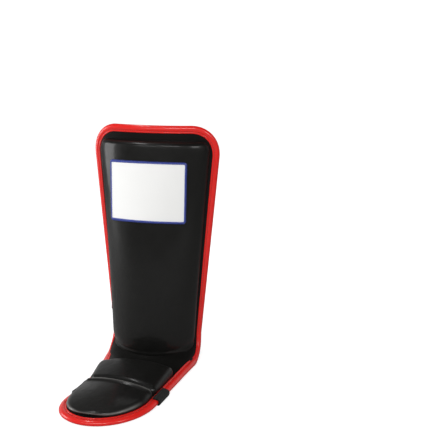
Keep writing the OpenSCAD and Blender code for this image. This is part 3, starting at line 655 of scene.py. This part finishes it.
def red_leather(name):
    """Red synthetic leather: fine grain, short puckers across the strip and a satin shine."""
    material, tree, place = new_material(name)
    strip = shade(tree, "Mapping", {"Vector": shade(tree, "UVMap", uv_map="UVMap"),
                  "Scale": (170.0, 26.0, 1.0)})
    pucker = noise(tree, strip, 1.0, 3.0)
    fine = bumped(tree, noise(tree, place, 1500.0, 2.0), 0.12, 0.0003)
    tone = mixed(tree, noise(tree, place, 35.0, 2.0), (0.64, 0.0105, 0.0078), (0.75, 0.019, 0.0145))
    return surfaced(material, tone, ranged(tree, pucker, 0.3, 0.7, 0.34, 0.45),
                    bumped(tree, pucker, 0.3, 0.0012, fine),
                    {"Specular IOR Level": 0.2, "Coat Weight": 0.35, "Coat Roughness": 0.14})


def swept_piece(name, middles, sides, outs, outline, material, closed, shape=None):
    """A bar along a path: each ring is the outline, set across the path by its side and out."""
    n, m = len(middles), len(outline)
    points = (middles[:, None] + sides[:, None] * outline[None, :, :1]
              + outs[:, None] * outline[None, :, 1:2])
    if shape is not None:
        points = shape(points)
    uv = np.stack(np.broadcast_arrays(run_along(middles)[:, None], run_along(outline)), -1)
    i, j = np.meshgrid(np.arange(n if closed else n - 1), np.arange(m), indexing="ij")
    i2, j2 = (i + 1) % n, (j + 1) % m
    faces = np.stack([i * m + j, i * m + j2, i2 * m + j2, i2 * m + j], -1).reshape(-1, 4).tolist()
    if not closed:
        faces += [list(range(m))[::-1], list(range((n - 1) * m, n * m))]
    return make_piece(name, points, faces, material, uv.reshape(-1, 2))


def spaced(columns, pitch, closed=False):
    """The same path with its points at an even pitch. The first column holds the places."""
    if closed:
        columns = [np.concatenate([c, c[:1]]) for c in columns]
    run = run_along(columns[0])
    at = np.linspace(0, run[-1], max(2, int(round(run[-1] / pitch))) + (0 if closed else 1),
                     endpoint=not closed)
    return [np.stack([np.interp(at, run, c[:, i]) for i in range(3)], 1) for c in columns]


def binding_path():
    """Middle, outward side and front normal of the binding, once round from the top middle."""
    over = float(lim(0.0, corner_r))
    b = np.linspace(0, 90, 24)
    turn_v = v_of(corner_r * (1 - sin(b)))
    turn_k = lim(turn_v, corner_r * (1 - cos(b)))
    v = np.concatenate([np.zeros(20), turn_v[::-1], v_of(np.linspace(corner_r, shin_len, 70)[1:]),
                        np.linspace(1, 2.499, 70)[1:]])
    k = np.concatenate([np.linspace(0, over, 21)[:-1], turn_k[::-1], np.ones(69), np.ones(69)])
    y = np.concatenate([np.linspace(level_y - 1, round_y, 40),
                        round_y - toe_len * sin(np.linspace(2, 88, 40))])
    a = np.degrees(np.arcsin(np.clip((round_y - y) / toe_len, 0, 1)))
    o = unit(np.stack([cos(a) * toe_len, -sin(a) * foot_half], -1))
    fv = v_of(m_of_y(y))
    place = np.stack([shift_at(fv) + foot_half * toe_f(y), y, np.full_like(y, edge_z)], -1)
    front = np.stack([o[:, 0] * sin(tilt(y)), o[:, 1] * sin(tilt(y)), cos(tilt(y))], -1)
    left = np.concatenate([shell(v, k), place])
    front = np.concatenate([normal(v, k), front])
    centre = np.concatenate([shift_at(v), shift_at(fv)])[:, None] * (1, 0, 0)
    right = left * (-1, 1, 1) + 2 * centre + drawn_in(left[:, 1:2], -1.0) * (1, 0, 0)
    nose_front = [0, -sin(tilt(tip_y)), cos(tilt(tip_y))]
    middles = np.concatenate([left, [[shift_at(np.array(3.0)), tip_y, edge_z]], right[:0:-1]])
    fronts = np.concatenate([front, [nose_front], (front * (-1, 1, 1))[:0:-1]])
    middles, fronts = spaced([middles, fronts], 2.6, closed=True)
    for _ in range(3):
        fronts = unit(fronts + np.roll(fronts, 1, 0) + np.roll(fronts, -1, 0))
    run = unit(np.roll(middles, -1, 0) - np.roll(middles, 1, 0))
    sides = unit(np.cross(run, fronts))
    outs = unit(np.cross(sides, run))
    if sides[0, 2] < 0:
        sides = -sides
    if outs[0, 1] > 0:
        outs = -outs
    return middles, sides, outs


def over_strap(points):
    """The binding rests on the floor, and on the foot strap where that runs under it."""
    points = points.copy()
    lift = strap_lift * ease((half_strap + lift_past - np.abs(points[..., 1])) / lift_run)
    points[..., 2] = np.maximum(points[..., 2], lift)
    return points


front_half = [(-5.6, 1.2), (-5.6, 2.1), (-5.2, 2.75), (-4.5, 3.0), (-3.8, 2.85), (-3.3, 2.3),
              (-2.8, 2.25), (-2.3, 2.75), (-1.3, 3.3), (0.2, 3.6), (1.8, 3.5), (3.3, 2.95),
              (4.5, 2.05), (5.2, 1.0), (5.45, 0.0)]
back_half = [(x, -y * 0.97) for x, y in front_half[-2::-1]]
binding_outline = np.array(front_half + back_half)
red_binding = red_leather("red_binding_leather")
middles, sides, outs = binding_path()
binding = swept_piece("edge_binding", middles, sides, outs, binding_outline, red_binding, True,
                      over_strap)
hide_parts("shin_binding", "instep_binding")
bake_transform(binding)


def thread(name, colour):
    """Twisted sewing thread with a soft shine."""
    material, tree, place = new_material(name)
    twist = waves(tree, place, 700.0, "DIAGONAL", 2.0)
    return surfaced(material, toned(tree, twist, colour, 0.75, 1), 0.6,
                    bumped(tree, twist, 0.3, 0.0002), {"Sheen Weight": 0.15})


def grow(tree, kind, inputs=None, **settings):
    """The output of a new geometry node."""
    return add_node(tree, "GeometryNode" + kind, inputs, **settings).outputs[0]


def path_tree(name, sizes):
    """A new Geometry Nodes tree. It is given a path, some sizes and a thread."""
    group = bpy.data.node_groups.new(name, "GeometryNodeTree")
    for label, kind in [("Path", "Geometry"), *[(size, "Float") for size in sizes],
                        ("Thread", "Material")]:
        group.interface.new_socket(label, in_out="INPUT", socket_type="NodeSocket" + kind)
    group.interface.new_socket("Sewn", in_out="OUTPUT", socket_type="NodeSocketGeometry")
    given = add_node(group, "NodeGroupInput").outputs
    return group, given, grow(group, "MeshToCurve", {"Mesh": given["Path"]})


def finished_tree(group, given, shape):
    real = grow(group, "RealizeInstances", {"Geometry": shape})
    sewn = grow(group, "SetMaterial", {"Geometry": real, "Material": given["Thread"]})
    add_node(group, "NodeGroupOutput", {"Sewn": sewn})
    return group


def stitch_tree():
    """One small stitch at every pitch along a path, turned to follow it."""
    group, given, curve = path_tree("stitch_row", ("Pitch", "Length", "Thickness"))
    even = grow(group, "ResampleCurve", {"Curve": curve, "Length": given["Pitch"]}, mode="LENGTH")
    ball = grow(group, "MeshUVSphere", {"Segments": 6, "Rings": 5, "Radius": 0.5})
    size = shade(group, "CombineXYZ", {"X": given["Length"], "Y": given["Thickness"],
                 "Z": given["Thickness"]})
    body = grow(group, "Transform", {"Geometry": ball, "Scale": size})
    turn = add_node(group, "FunctionNodeAlignRotationToVector",
                    {"Vector": grow(group, "InputTangent")}, axis="X").outputs[0]
    return finished_tree(group, given, grow(group, "InstanceOnPoints", {"Points": even,
                         "Instance": body, "Rotation": turn}))


stitch_row_tree = stitch_tree()


def sewn_piece(name, paths, group, sizes, material):
    """What a tree makes of its sizes along each path, all in millimetres, as one plain mesh."""
    points = np.concatenate(paths) * 0.001
    starts = np.cumsum([0] + [len(p) for p in paths])
    edges = [(i, i + 1) for a, b in zip(starts[:-1], starts[1:]) for i in range(a, b - 1)]
    mesh = bpy.data.meshes.new(name)
    mesh.from_pydata([tuple(p) for p in points], edges, [])
    piece = placed(name, mesh)
    nodes = piece.modifiers.new("sewn", "NODES")
    nodes.node_group = group
    values = {"Thread": material, **{label: size * 0.001 for label, size in sizes.items()}}
    for item in group.interface.items_tree:
        if item.in_out == "INPUT" and item.name in values:
            nodes[item.identifier] = values[item.name]
    piece.update_tag()
    depsgraph = bpy.context.evaluated_depsgraph_get()
    piece.data = bpy.data.meshes.new_from_object(piece.evaluated_get(depsgraph))
    piece.modifiers.remove(nodes)
    piece.data.shade_smooth()
    return piece


def stitch_row(name, paths, stitch, material):
    sizes = dict(zip(("Pitch", "Length", "Thickness"), stitch))
    return sewn_piece(name, paths, stitch_row_tree, sizes, material)


red_thread = thread("red_thread", (0.42, 0.022, 0.018))
seam_paths = []
for height in (seam_front, seam_back):
    seam = middles + sides * binding_seam + outs * height
    seam_paths.append(np.concatenate([seam, seam[:1]]))
binding_stitches = stitch_row("binding_stitches", seam_paths, binding_stitch, red_thread)
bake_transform(binding_stitches)

# ---- Label ----
# A plain woven white patch on the upper part of the shin pad, left blank. Dense blue overlock
# thread covers its cut edge and sews it down.
label_x, label_z = -3, 251
label_w, label_h = 117, 86
label_border_w, label_corner = 3.5, 2.2
label_face, label_back = 0.75, 0.1
overlock_pitch, overlock_thread = 0.55, 0.62


def woven(name, colour):
    """Woven cloth: warp and weft, a little darker in the hollows and in slow patches."""
    material, tree, place = new_material(name, along_cloth=True)
    cross = crossed(tree, waves(tree, place, 420.0, "X"), waves(tree, place, 300.0, "Y"))
    soft = toned(tree, noise(tree, place, 30.0, 3.0), colour, 0.97, 1)
    return surfaced(material, mixed(tree, cross, [c * 0.93 for c in colour], soft), 0.7,
                    bumped(tree, cross, 0.25, 0.0002), {"Sheen Weight": 0.1})


shin_pad_skin = BVHTree.FromPolygons([v.co.copy() for v in shin_pad.data.vertices],
                                     [tuple(p.vertices) for p in shin_pad.data.polygons])


def on_label(x, z, h):
    """Places on the shin pad's cover, x across and z up, standing off it by h."""
    x, z, h = floats(x, z, h)
    v = v_of((top_z - z) / cos(lean_back))
    near_skin, past_skin = 18.0 + 0 * v, 40.0 + 0 * v
    speed = np.linalg.norm(off(v, 0.3, near_skin) - off(v, 0.0, near_skin), axis=-1) / 0.3
    k = x / speed
    start, way = off(v, k, past_skin), -normal(v, k)
    places = []
    for p, d, lift in zip(start.reshape(-1, 3), way.reshape(-1, 3), h.ravel()):
        hit, face_normal, _, _ = shin_pad_skin.ray_cast(Vector(p * 0.001), Vector(d))
        places.append((hit + face_normal * lift * 0.001) * 1000)
    return np.array([tuple(p) for p in places]).reshape(*x.shape, 3)


label_weave = woven("label_weave", (0.88, 0.88, 0.865))
patch_w, patch_h = label_w - label_border_w, label_h - label_border_w
grid_x, grid_z = np.meshgrid(label_x + np.linspace(-0.5, 0.5, 41) * patch_w,
                             label_z + np.linspace(0.5, -0.5, 31) * patch_h)
label = sheet_piece("label_patch_cloth", on_label(grid_x, grid_z, label_face),
                    on_label(grid_x, grid_z, label_back), label_weave)
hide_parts("label_patch")
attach(label, "shin")

a = np.linspace(0, 90, 5) + 90 * np.arange(4)[:, None]
x = np.array([1, -1, -1, 1])[:, None] * (patch_w / 2 - label_corner)
z = np.array([1, 1, -1, -1])[:, None] * (patch_h / 2 - label_corner)
border = np.stack([label_x + x + label_corner * cos(a), 0 * a, label_z + z + label_corner * sin(a)], -1)
flat_path = spaced([border.reshape(-1, 3)], overlock_pitch, closed=True)[0]
flat_side = unit(np.roll(flat_path, -1, 0) - np.roll(flat_path, 1, 0))[:, [2, 1, 0]] * (1, 0, -1)


def beside_edge(side, h):
    """Places along the label's edge at height h, on it or half a border's width to one side."""
    path = flat_path + flat_side * side * label_border_w / 2
    return on_label(path[:, 0], path[:, 2], h)


def thread_tree():
    """One round thread along a path."""
    group, given, curve = path_tree("laid_thread", ("Thickness",))
    half = shade(group, "Math", {0: given["Thickness"], 1: 0.5}, operation="MULTIPLY")
    ring = grow(group, "CurvePrimitiveCircle", {"Resolution": 5, "Radius": half})
    return finished_tree(group, given, grow(group, "CurveToMesh", {"Curve": curve,
                         "Profile Curve": ring, "Fill Caps": True}))


inner, overlock, outer = beside_edge(-1, 0.9), beside_edge(0, 0.95), beside_edge(1, 0.35)
turns = np.stack([inner, overlock, outer, overlock], 1).reshape(-1, 3)
blue_thread = thread("blue_thread", (0.045, 0.075, 0.40))
label_border = sewn_piece("label_overlock", [turns], thread_tree(), {"Thickness": overlock_thread},
                          blue_thread)
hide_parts("label_border")
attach(label_border, "shin")

# ---- Foot strap ----
# Black elastic webbing that runs flat under the foot and folds up round the binding on both sides,
# where it is sewn down. Only the folded ends show from above.
foot_strap_t, strap_gap = 1.8, 0.45


def webbing(name, colour, rib):
    """Elastic webbing: ribs along its length, crossed by fine weft lines."""
    material, tree, place = new_material(name, along_cloth=True)
    ribs, weft = waves(tree, place, rib, "X", 0.4), waves(tree, place, 260.0, "Y", 0.8)
    return surfaced(material, toned(tree, ribs, colour, 0.6, 1.3), 0.72,
                    bumped(tree, crossed(tree, ribs, weft, "ADD"), 0.4, 0.0004),
                    {"Specular IOR Level": 0.2, "Sheen Weight": 0.04})


charcoal_elastic = webbing("charcoal_elastic", (0.0085, 0.0083, 0.0076), 90.0)


def strap_section(y, g, floor_z):
    """The strap's line across the foot part at y, off the binding by g and never below floor_z."""
    r, turn = binding_roll, float(tilt(y))
    middle = float(shift_at(v_of(m_of_y(y))))

    def by_edge(s, across, up):
        x = foot_half * toe_f(y) + across * cos(turn) + up * sin(turn)
        z = edge_z + up * cos(turn) - across * sin(turn)
        return [middle + s * x + drawn_in(y, s), y, max(floor_z, z)]

    def wrap(s, a):
        over, up = [np.sign(f) * min(1, abs(f) * 4) for f in (cos(a), sin(a))]
        return by_edge(s, (binding_w / 2 - r) * over + (r + g) * cos(a),
                       (binding_t / 2 - r) * up + (r + g) * sin(a))

    angles = np.linspace(88, -62, 14)
    left, right = [[by_edge(s, x, binding_t / 2 + g) for x in (-3.2, -1.6, 0.4)]
                   + [wrap(s, a) for a in angles] for s in (-1, 1)]
    under = [[middle + drawn_in(y, 0) + x, y, floor_z] for x in np.linspace(-44, 44, 12)]
    return left + under + right[::-1]


foot_strap = sheet_piece("foot_strap_elastic", *[
    np.array([strap_section(y, g, floor_z) for y in np.linspace(-half_strap, half_strap, 13)])
    for g, floor_z in ((strap_gap, foot_strap_t), (strap_gap + foot_strap_t, 0.0))], charcoal_elastic)
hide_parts("foot_strap")
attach(foot_strap, "instep")

# ---- Calf flaps ----
# Two flaps of black knitted cloth, sewn inside the side edges. They bulge back over the calf, the
# right one laps over the left one, and a curved slit stays open between them.
flap_t, flap_bulge, flap_lap = 2, 14, 10
hem_w, hem_gap = 6.5, 0.25
top_hem_side, hem_climb = 315, 16
bottom_hem_z, bottom_fall = 45, 9
slit_bottom, slit_top = 107, 238
slit_widths = {"left": 27, "right": 16}
flap_side_in, flap_sink = 1.7, 1.7
lap_lift = flap_t + 2.1            # how far the right flap stands off the left one


def side_v(z):
    return (top_z - z) / (top_z - edge_s[1])


def side_half(z):
    return lerp(top_half, ankle_half, side_v(z))


def flap_y(x, z):
    a = rim_at(np.asarray(side_v(z), float))
    r = binding_roll
    reach = (binding_w / 2 - r) * sin(a) + (binding_t / 2 - r) * cos(a) + r
    return (edge_line(z) + reach + flap_t / 2 - flap_sink
            + flap_bulge * (1 - (x / side_half(z)) ** 2))


def lap_rise(x, z):
    """How far the right flap rises off the left one, from the side towards the lap."""
    return lap_lift * ease((0.75 * side_half(z) - np.abs(x)) / (0.6 * side_half(z)))


def on_flap(s, x, z, h):
    x, z, h = floats(x, z, h)
    return np.stack([s * x, flap_y(x, z) + (lap_rise(x, z) if s < 0 else 0) + h, z], -1)


def slit_f(z, w):
    """The slit's width at a height, as a share of its widest, with room for the binding."""
    t = (z - slit_bottom) / (slit_top - slit_bottom)
    e = (hem_w + 0.5) / w
    return e + (1 - e) * np.where(t < 0.75, sin(120 * t), cos(360 * (t - 0.75)))


def inner_x(z, w):
    return np.where((z > slit_bottom) & (z < slit_top), w * slit_f(z, w), -flap_lap / 2)


def hem_z(side, t):
    return top_hem_side + hem_climb * t if side > 0 else bottom_hem_z - bottom_fall * t


def flap_wrinkle(x, z):
    return 0.35 * np.sin(z / 17 + x / 23) * np.sin(x / 14 + 1.3) * np.cos(z / 41)


def calf_flap(name, s, w):
    lift = hem_w + hem_gap
    z0, z1 = hem_z(-1, 1) + lift, hem_z(1, 1) - lift
    zs = np.concatenate([np.linspace(z0, slit_bottom - 0.2, 16),
                         np.linspace(slit_bottom + 0.2, slit_top - 0.2, 40),
                         np.linspace(slit_top + 0.2, z1, 16)])[:, None]
    t = np.linspace(0, 1, 34)[None, :]
    side_z = lerp(hem_z(-1, 0) + lift, hem_z(1, 0) - lift, (zs - z0) / (z1 - z0))
    z = lerp(side_z, zs, t)
    x = lerp(side_half(z) - flap_side_in, inner_x(zs + 0 * t, w), t)
    soft = flap_wrinkle(s * x, z) * np.sin(np.pi * t)
    return sheet_piece(name, on_flap(s, x, z, -flap_t / 2 + soft), on_flap(s, x, z, flap_t / 2 + soft),
                       flap_knit)


flap_knit = knit("flap_knit", (0.0062, 0.0062, 0.0066), 300.0, 0.0005)
for side, s in (("left", 1), ("right", -1)):
    flap = calf_flap(side + "_flap_cloth", s, slit_widths[side])
    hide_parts(side + "_calf_flap")
    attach(flap, side + "_flap")

# ---- Flap hems and slit bindings ----
# Narrow strips of the same red leather, folded over the flaps' top, bottom and slit edges and
# stitched close to the inner edge.
hem_t, hem_r, hem_seam = flap_t + 1.2, 1.3, 2.0
turn = np.linspace(0, 90, 5)
hem_corner = np.stack([hem_w / 2 - hem_r + hem_r * cos(turn), hem_t / 2 - hem_r + hem_r * sin(turn)], 1)
hem_outline = np.concatenate([hem_corner, [(0.4, hem_t / 2 + 0.1)], hem_corner[::-1] * (-1, 1),
                              hem_corner * (-1, -1), hem_corner[::-1] * (1, -1)])


def flap_strip(name, s, x, z, replaced, seam):
    places = spaced([on_flap(s, x, z, 0)], 2.0)[0]
    run = unit(np.gradient(places, axis=0))
    across = unit(np.cross(run, (0, 1, 0)))
    outs = unit(np.cross(across, run))
    if outs[0, 1] < 0:
        outs = -outs
    strip = swept_piece(name, places, across, outs, hem_outline, red_binding, False)
    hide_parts(replaced)
    rows = [places + across * seam + outs * face * (hem_t / 2 - 0.05) for face in (1, -1)]
    stitches = stitch_row(name + "_stitches", rows, hem_stitch, red_thread)
    for piece in (strip, stitches):
        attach(piece, ("left" if s > 0 else "right") + "_flap")


for side, s in (("left", 1), ("right", -1)):
    for where, way in (("top", 1), ("bottom", -1)):
        t = np.linspace(0, 1, 40)
        z = hem_z(way, t) - way * hem_w / 2
        flap_strip(f"{side}_{where}_hem_strip", s, lerp(side_half(z) - flap_side_in - 1.4, 0.5, t), z,
                   f"{side}_{where}_hem", s * hem_seam)
    w = slit_widths[side]
    z = np.linspace(slit_bottom + 1.5, slit_top - 1.5, 60)
    slope = w * (slit_f(z + 0.5, w) - slit_f(z - 0.5, w))
    x = w * slit_f(z, w) - (hem_w / 2 + hem_gap) * np.hypot(1, slope) - 0.2
    flap_strip(side + "_slit_strip", s, x, z, side + "_slit_binding", -s * hem_seam)

# ---- Closing straps ----
# Two bands of charcoal elastic, sewn on at the left edge, cross both flaps to the right. Hook tape
# on their ends grips patches of brushed loop tape on the right flap.
strap_w, elastic_t, hook_t = 44, 1.6, 1.1
upper_strap_z, upper_climb, upper_end = 283, 19, 39
lower_strap_z, lower_climb, lower_end = 76, 5, 35
tab_reach, tape_gap = 5, 0.1
strap_stitch = (3.0, 2.3, 0.6)
stack = 2 * (hook_t + tape_gap) + 0.3 + elastic_t / 2


def strap_rise(x, z):
    left = lerp(flap_t / 2 + 0.3 + elastic_t / 2, lap_lift + flap_t / 2 + stack,
                ease(1 - x / side_half(z)))
    return np.where(x < 0, lap_rise(x, z) + flap_t / 2 + stack, left)


def band_point(line, width, t, k, h, rise_of):
    """Places on a band: t along its middle line, k across it, h off the height that rise_of gives."""
    a, b = np.array(line, float)
    d = (b - a) / np.linalg.norm(b - a)
    x = lerp(a[0], b[0], t) - d[1] * width / 2 * k
    z = lerp(a[1], b[1], t) + d[0] * width / 2 * k
    return np.stack([x, flap_y(x, z) + rise_of(x, z) + h, z], -1)


def band(name, node, body, line, width, h0, h1, material, rise_of=strap_rise, rows=48):
    """A strap or a piece of tape, from height h0 to h1, sewn on as a piece of a body."""
    t, k = np.meshgrid(np.linspace(0, 1, rows + 1), np.linspace(1, -1, 17), indexing="ij")
    back, front = [band_point(line, width, t, k, h, rise_of) for h in (h1, h0)]
    piece = sheet_piece(name, back, front, material)
    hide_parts(node)
    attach(piece, body)


def tape(name, colour, scale, rough):
    """Hook or loop tape: a dense pile of short monofilament over a woven ground."""
    material, tree, place = new_material(name)
    pile = shade(tree, "TexVoronoi", {"Vector": place, "Scale": scale})
    tone = toned(tree, noise(tree, place, 160.0, 4.0), colour, 0.6, 1.4)
    return surfaced(material, tone, rough, bumped(tree, pile, 0.6, 0.0006),
                    {"Specular IOR Level": 0.3, "Sheen Weight": 0.2, "Sheen Roughness": 0.6})


hook_tape = tape("hook_tape", (0.0045, 0.0045, 0.0045), 900.0, 0.55)
loop_tape = tape("loop_tape", (0.0095, 0.0095, 0.009), 500.0, 0.9)
black_thread = thread("black_thread", (0.02, 0.02, 0.02))
upper_line = ((side_half(upper_strap_z) - 9, upper_strap_z), (-upper_end, upper_strap_z + upper_climb))
lower_line = ((side_half(lower_strap_z) - 3, lower_strap_z), (-lower_end, lower_strap_z + lower_climb))


def part_way(line, t):
    return tuple(lerp(a, b, t) for a, b in zip(*line))


hook_line = (part_way(upper_line, 0.78), part_way(upper_line, 0.98))
tab_line = ((lower_line[1][0] - 0.5, lower_line[1][1]),
            (-side_half(lower_strap_z) - tab_reach, lower_line[1][1] + 1))
upper_loop_line = ((-upper_end + 20, upper_strap_z - 6), (-upper_end - 21, upper_strap_z - 6))
lower_loop_line = ((-24, lower_line[1][1]), (-lower_end - 15, lower_line[1][1]))
top_h = elastic_t / 2
hook_h = -top_h - tape_gap - hook_t
loop_h = flap_t / 2 + tape_gap
band("upper_strap_elastic", "upper_strap", "upper_strap", upper_line, strap_w, -top_h, top_h,
     charcoal_elastic)
band("upper_hook_tape", "upper_hook_patch", "upper_strap", hook_line, strap_w - 4, hook_h,
     hook_h + hook_t, hook_tape, rows=14)
band("lower_strap_elastic", "lower_strap", "lower_strap", lower_line, strap_w, -top_h, top_h,
     charcoal_elastic)
band("lower_hook_tape", "lower_hook_tab", "lower_strap", tab_line, strap_w - 2, hook_h,
     top_h, hook_tape, rows=16)
band("upper_loop_tape", "upper_loop_patch", "right_flap", upper_loop_line, strap_w, loop_h,
     loop_h + hook_t, loop_tape, lap_rise, 18)
band("lower_loop_tape", "lower_loop_patch", "right_flap", lower_loop_line, strap_w - 4,
     loop_h, loop_h + hook_t, loop_tape, lap_rise, 14)


def seam_box(line, width, t0, t1, h=top_h, rise_of=strap_rise):
    """The four sides of a sewn box near the end of a band."""
    corners = ((t0, 0.9), (t1, 0.9), (t1, -0.9), (t0, -0.9), (t0, 0.9))
    u = np.linspace(0, 1, 24)
    return [band_point(line, width, lerp(ta, tb, u), lerp(ka, kb, u), h, rise_of)
            for (ta, ka), (tb, kb) in zip(corners[:-1], corners[1:])]


strap_seams = {
    "upper_strap": seam_box(upper_line, strap_w, 0.02, 0.10) + seam_box(upper_line, strap_w, 0.79, 0.985),
    "lower_strap": seam_box(lower_line, strap_w, 0.03, 0.12) + seam_box(tab_line, strap_w - 2, 0.06, 0.94)
    + seam_box(lower_line, strap_w, 0.93, 0.985),
    "right_flap": seam_box(upper_loop_line, strap_w, 0.05, 0.95, loop_h + hook_t, lap_rise)
    + seam_box(lower_loop_line, strap_w - 4, 0.06, 0.94, loop_h + hook_t, lap_rise),
}
for body, paths in strap_seams.items():
    stitches = stitch_row(body + "_stitches", paths, strap_stitch, black_thread)
    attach(stitches, body)
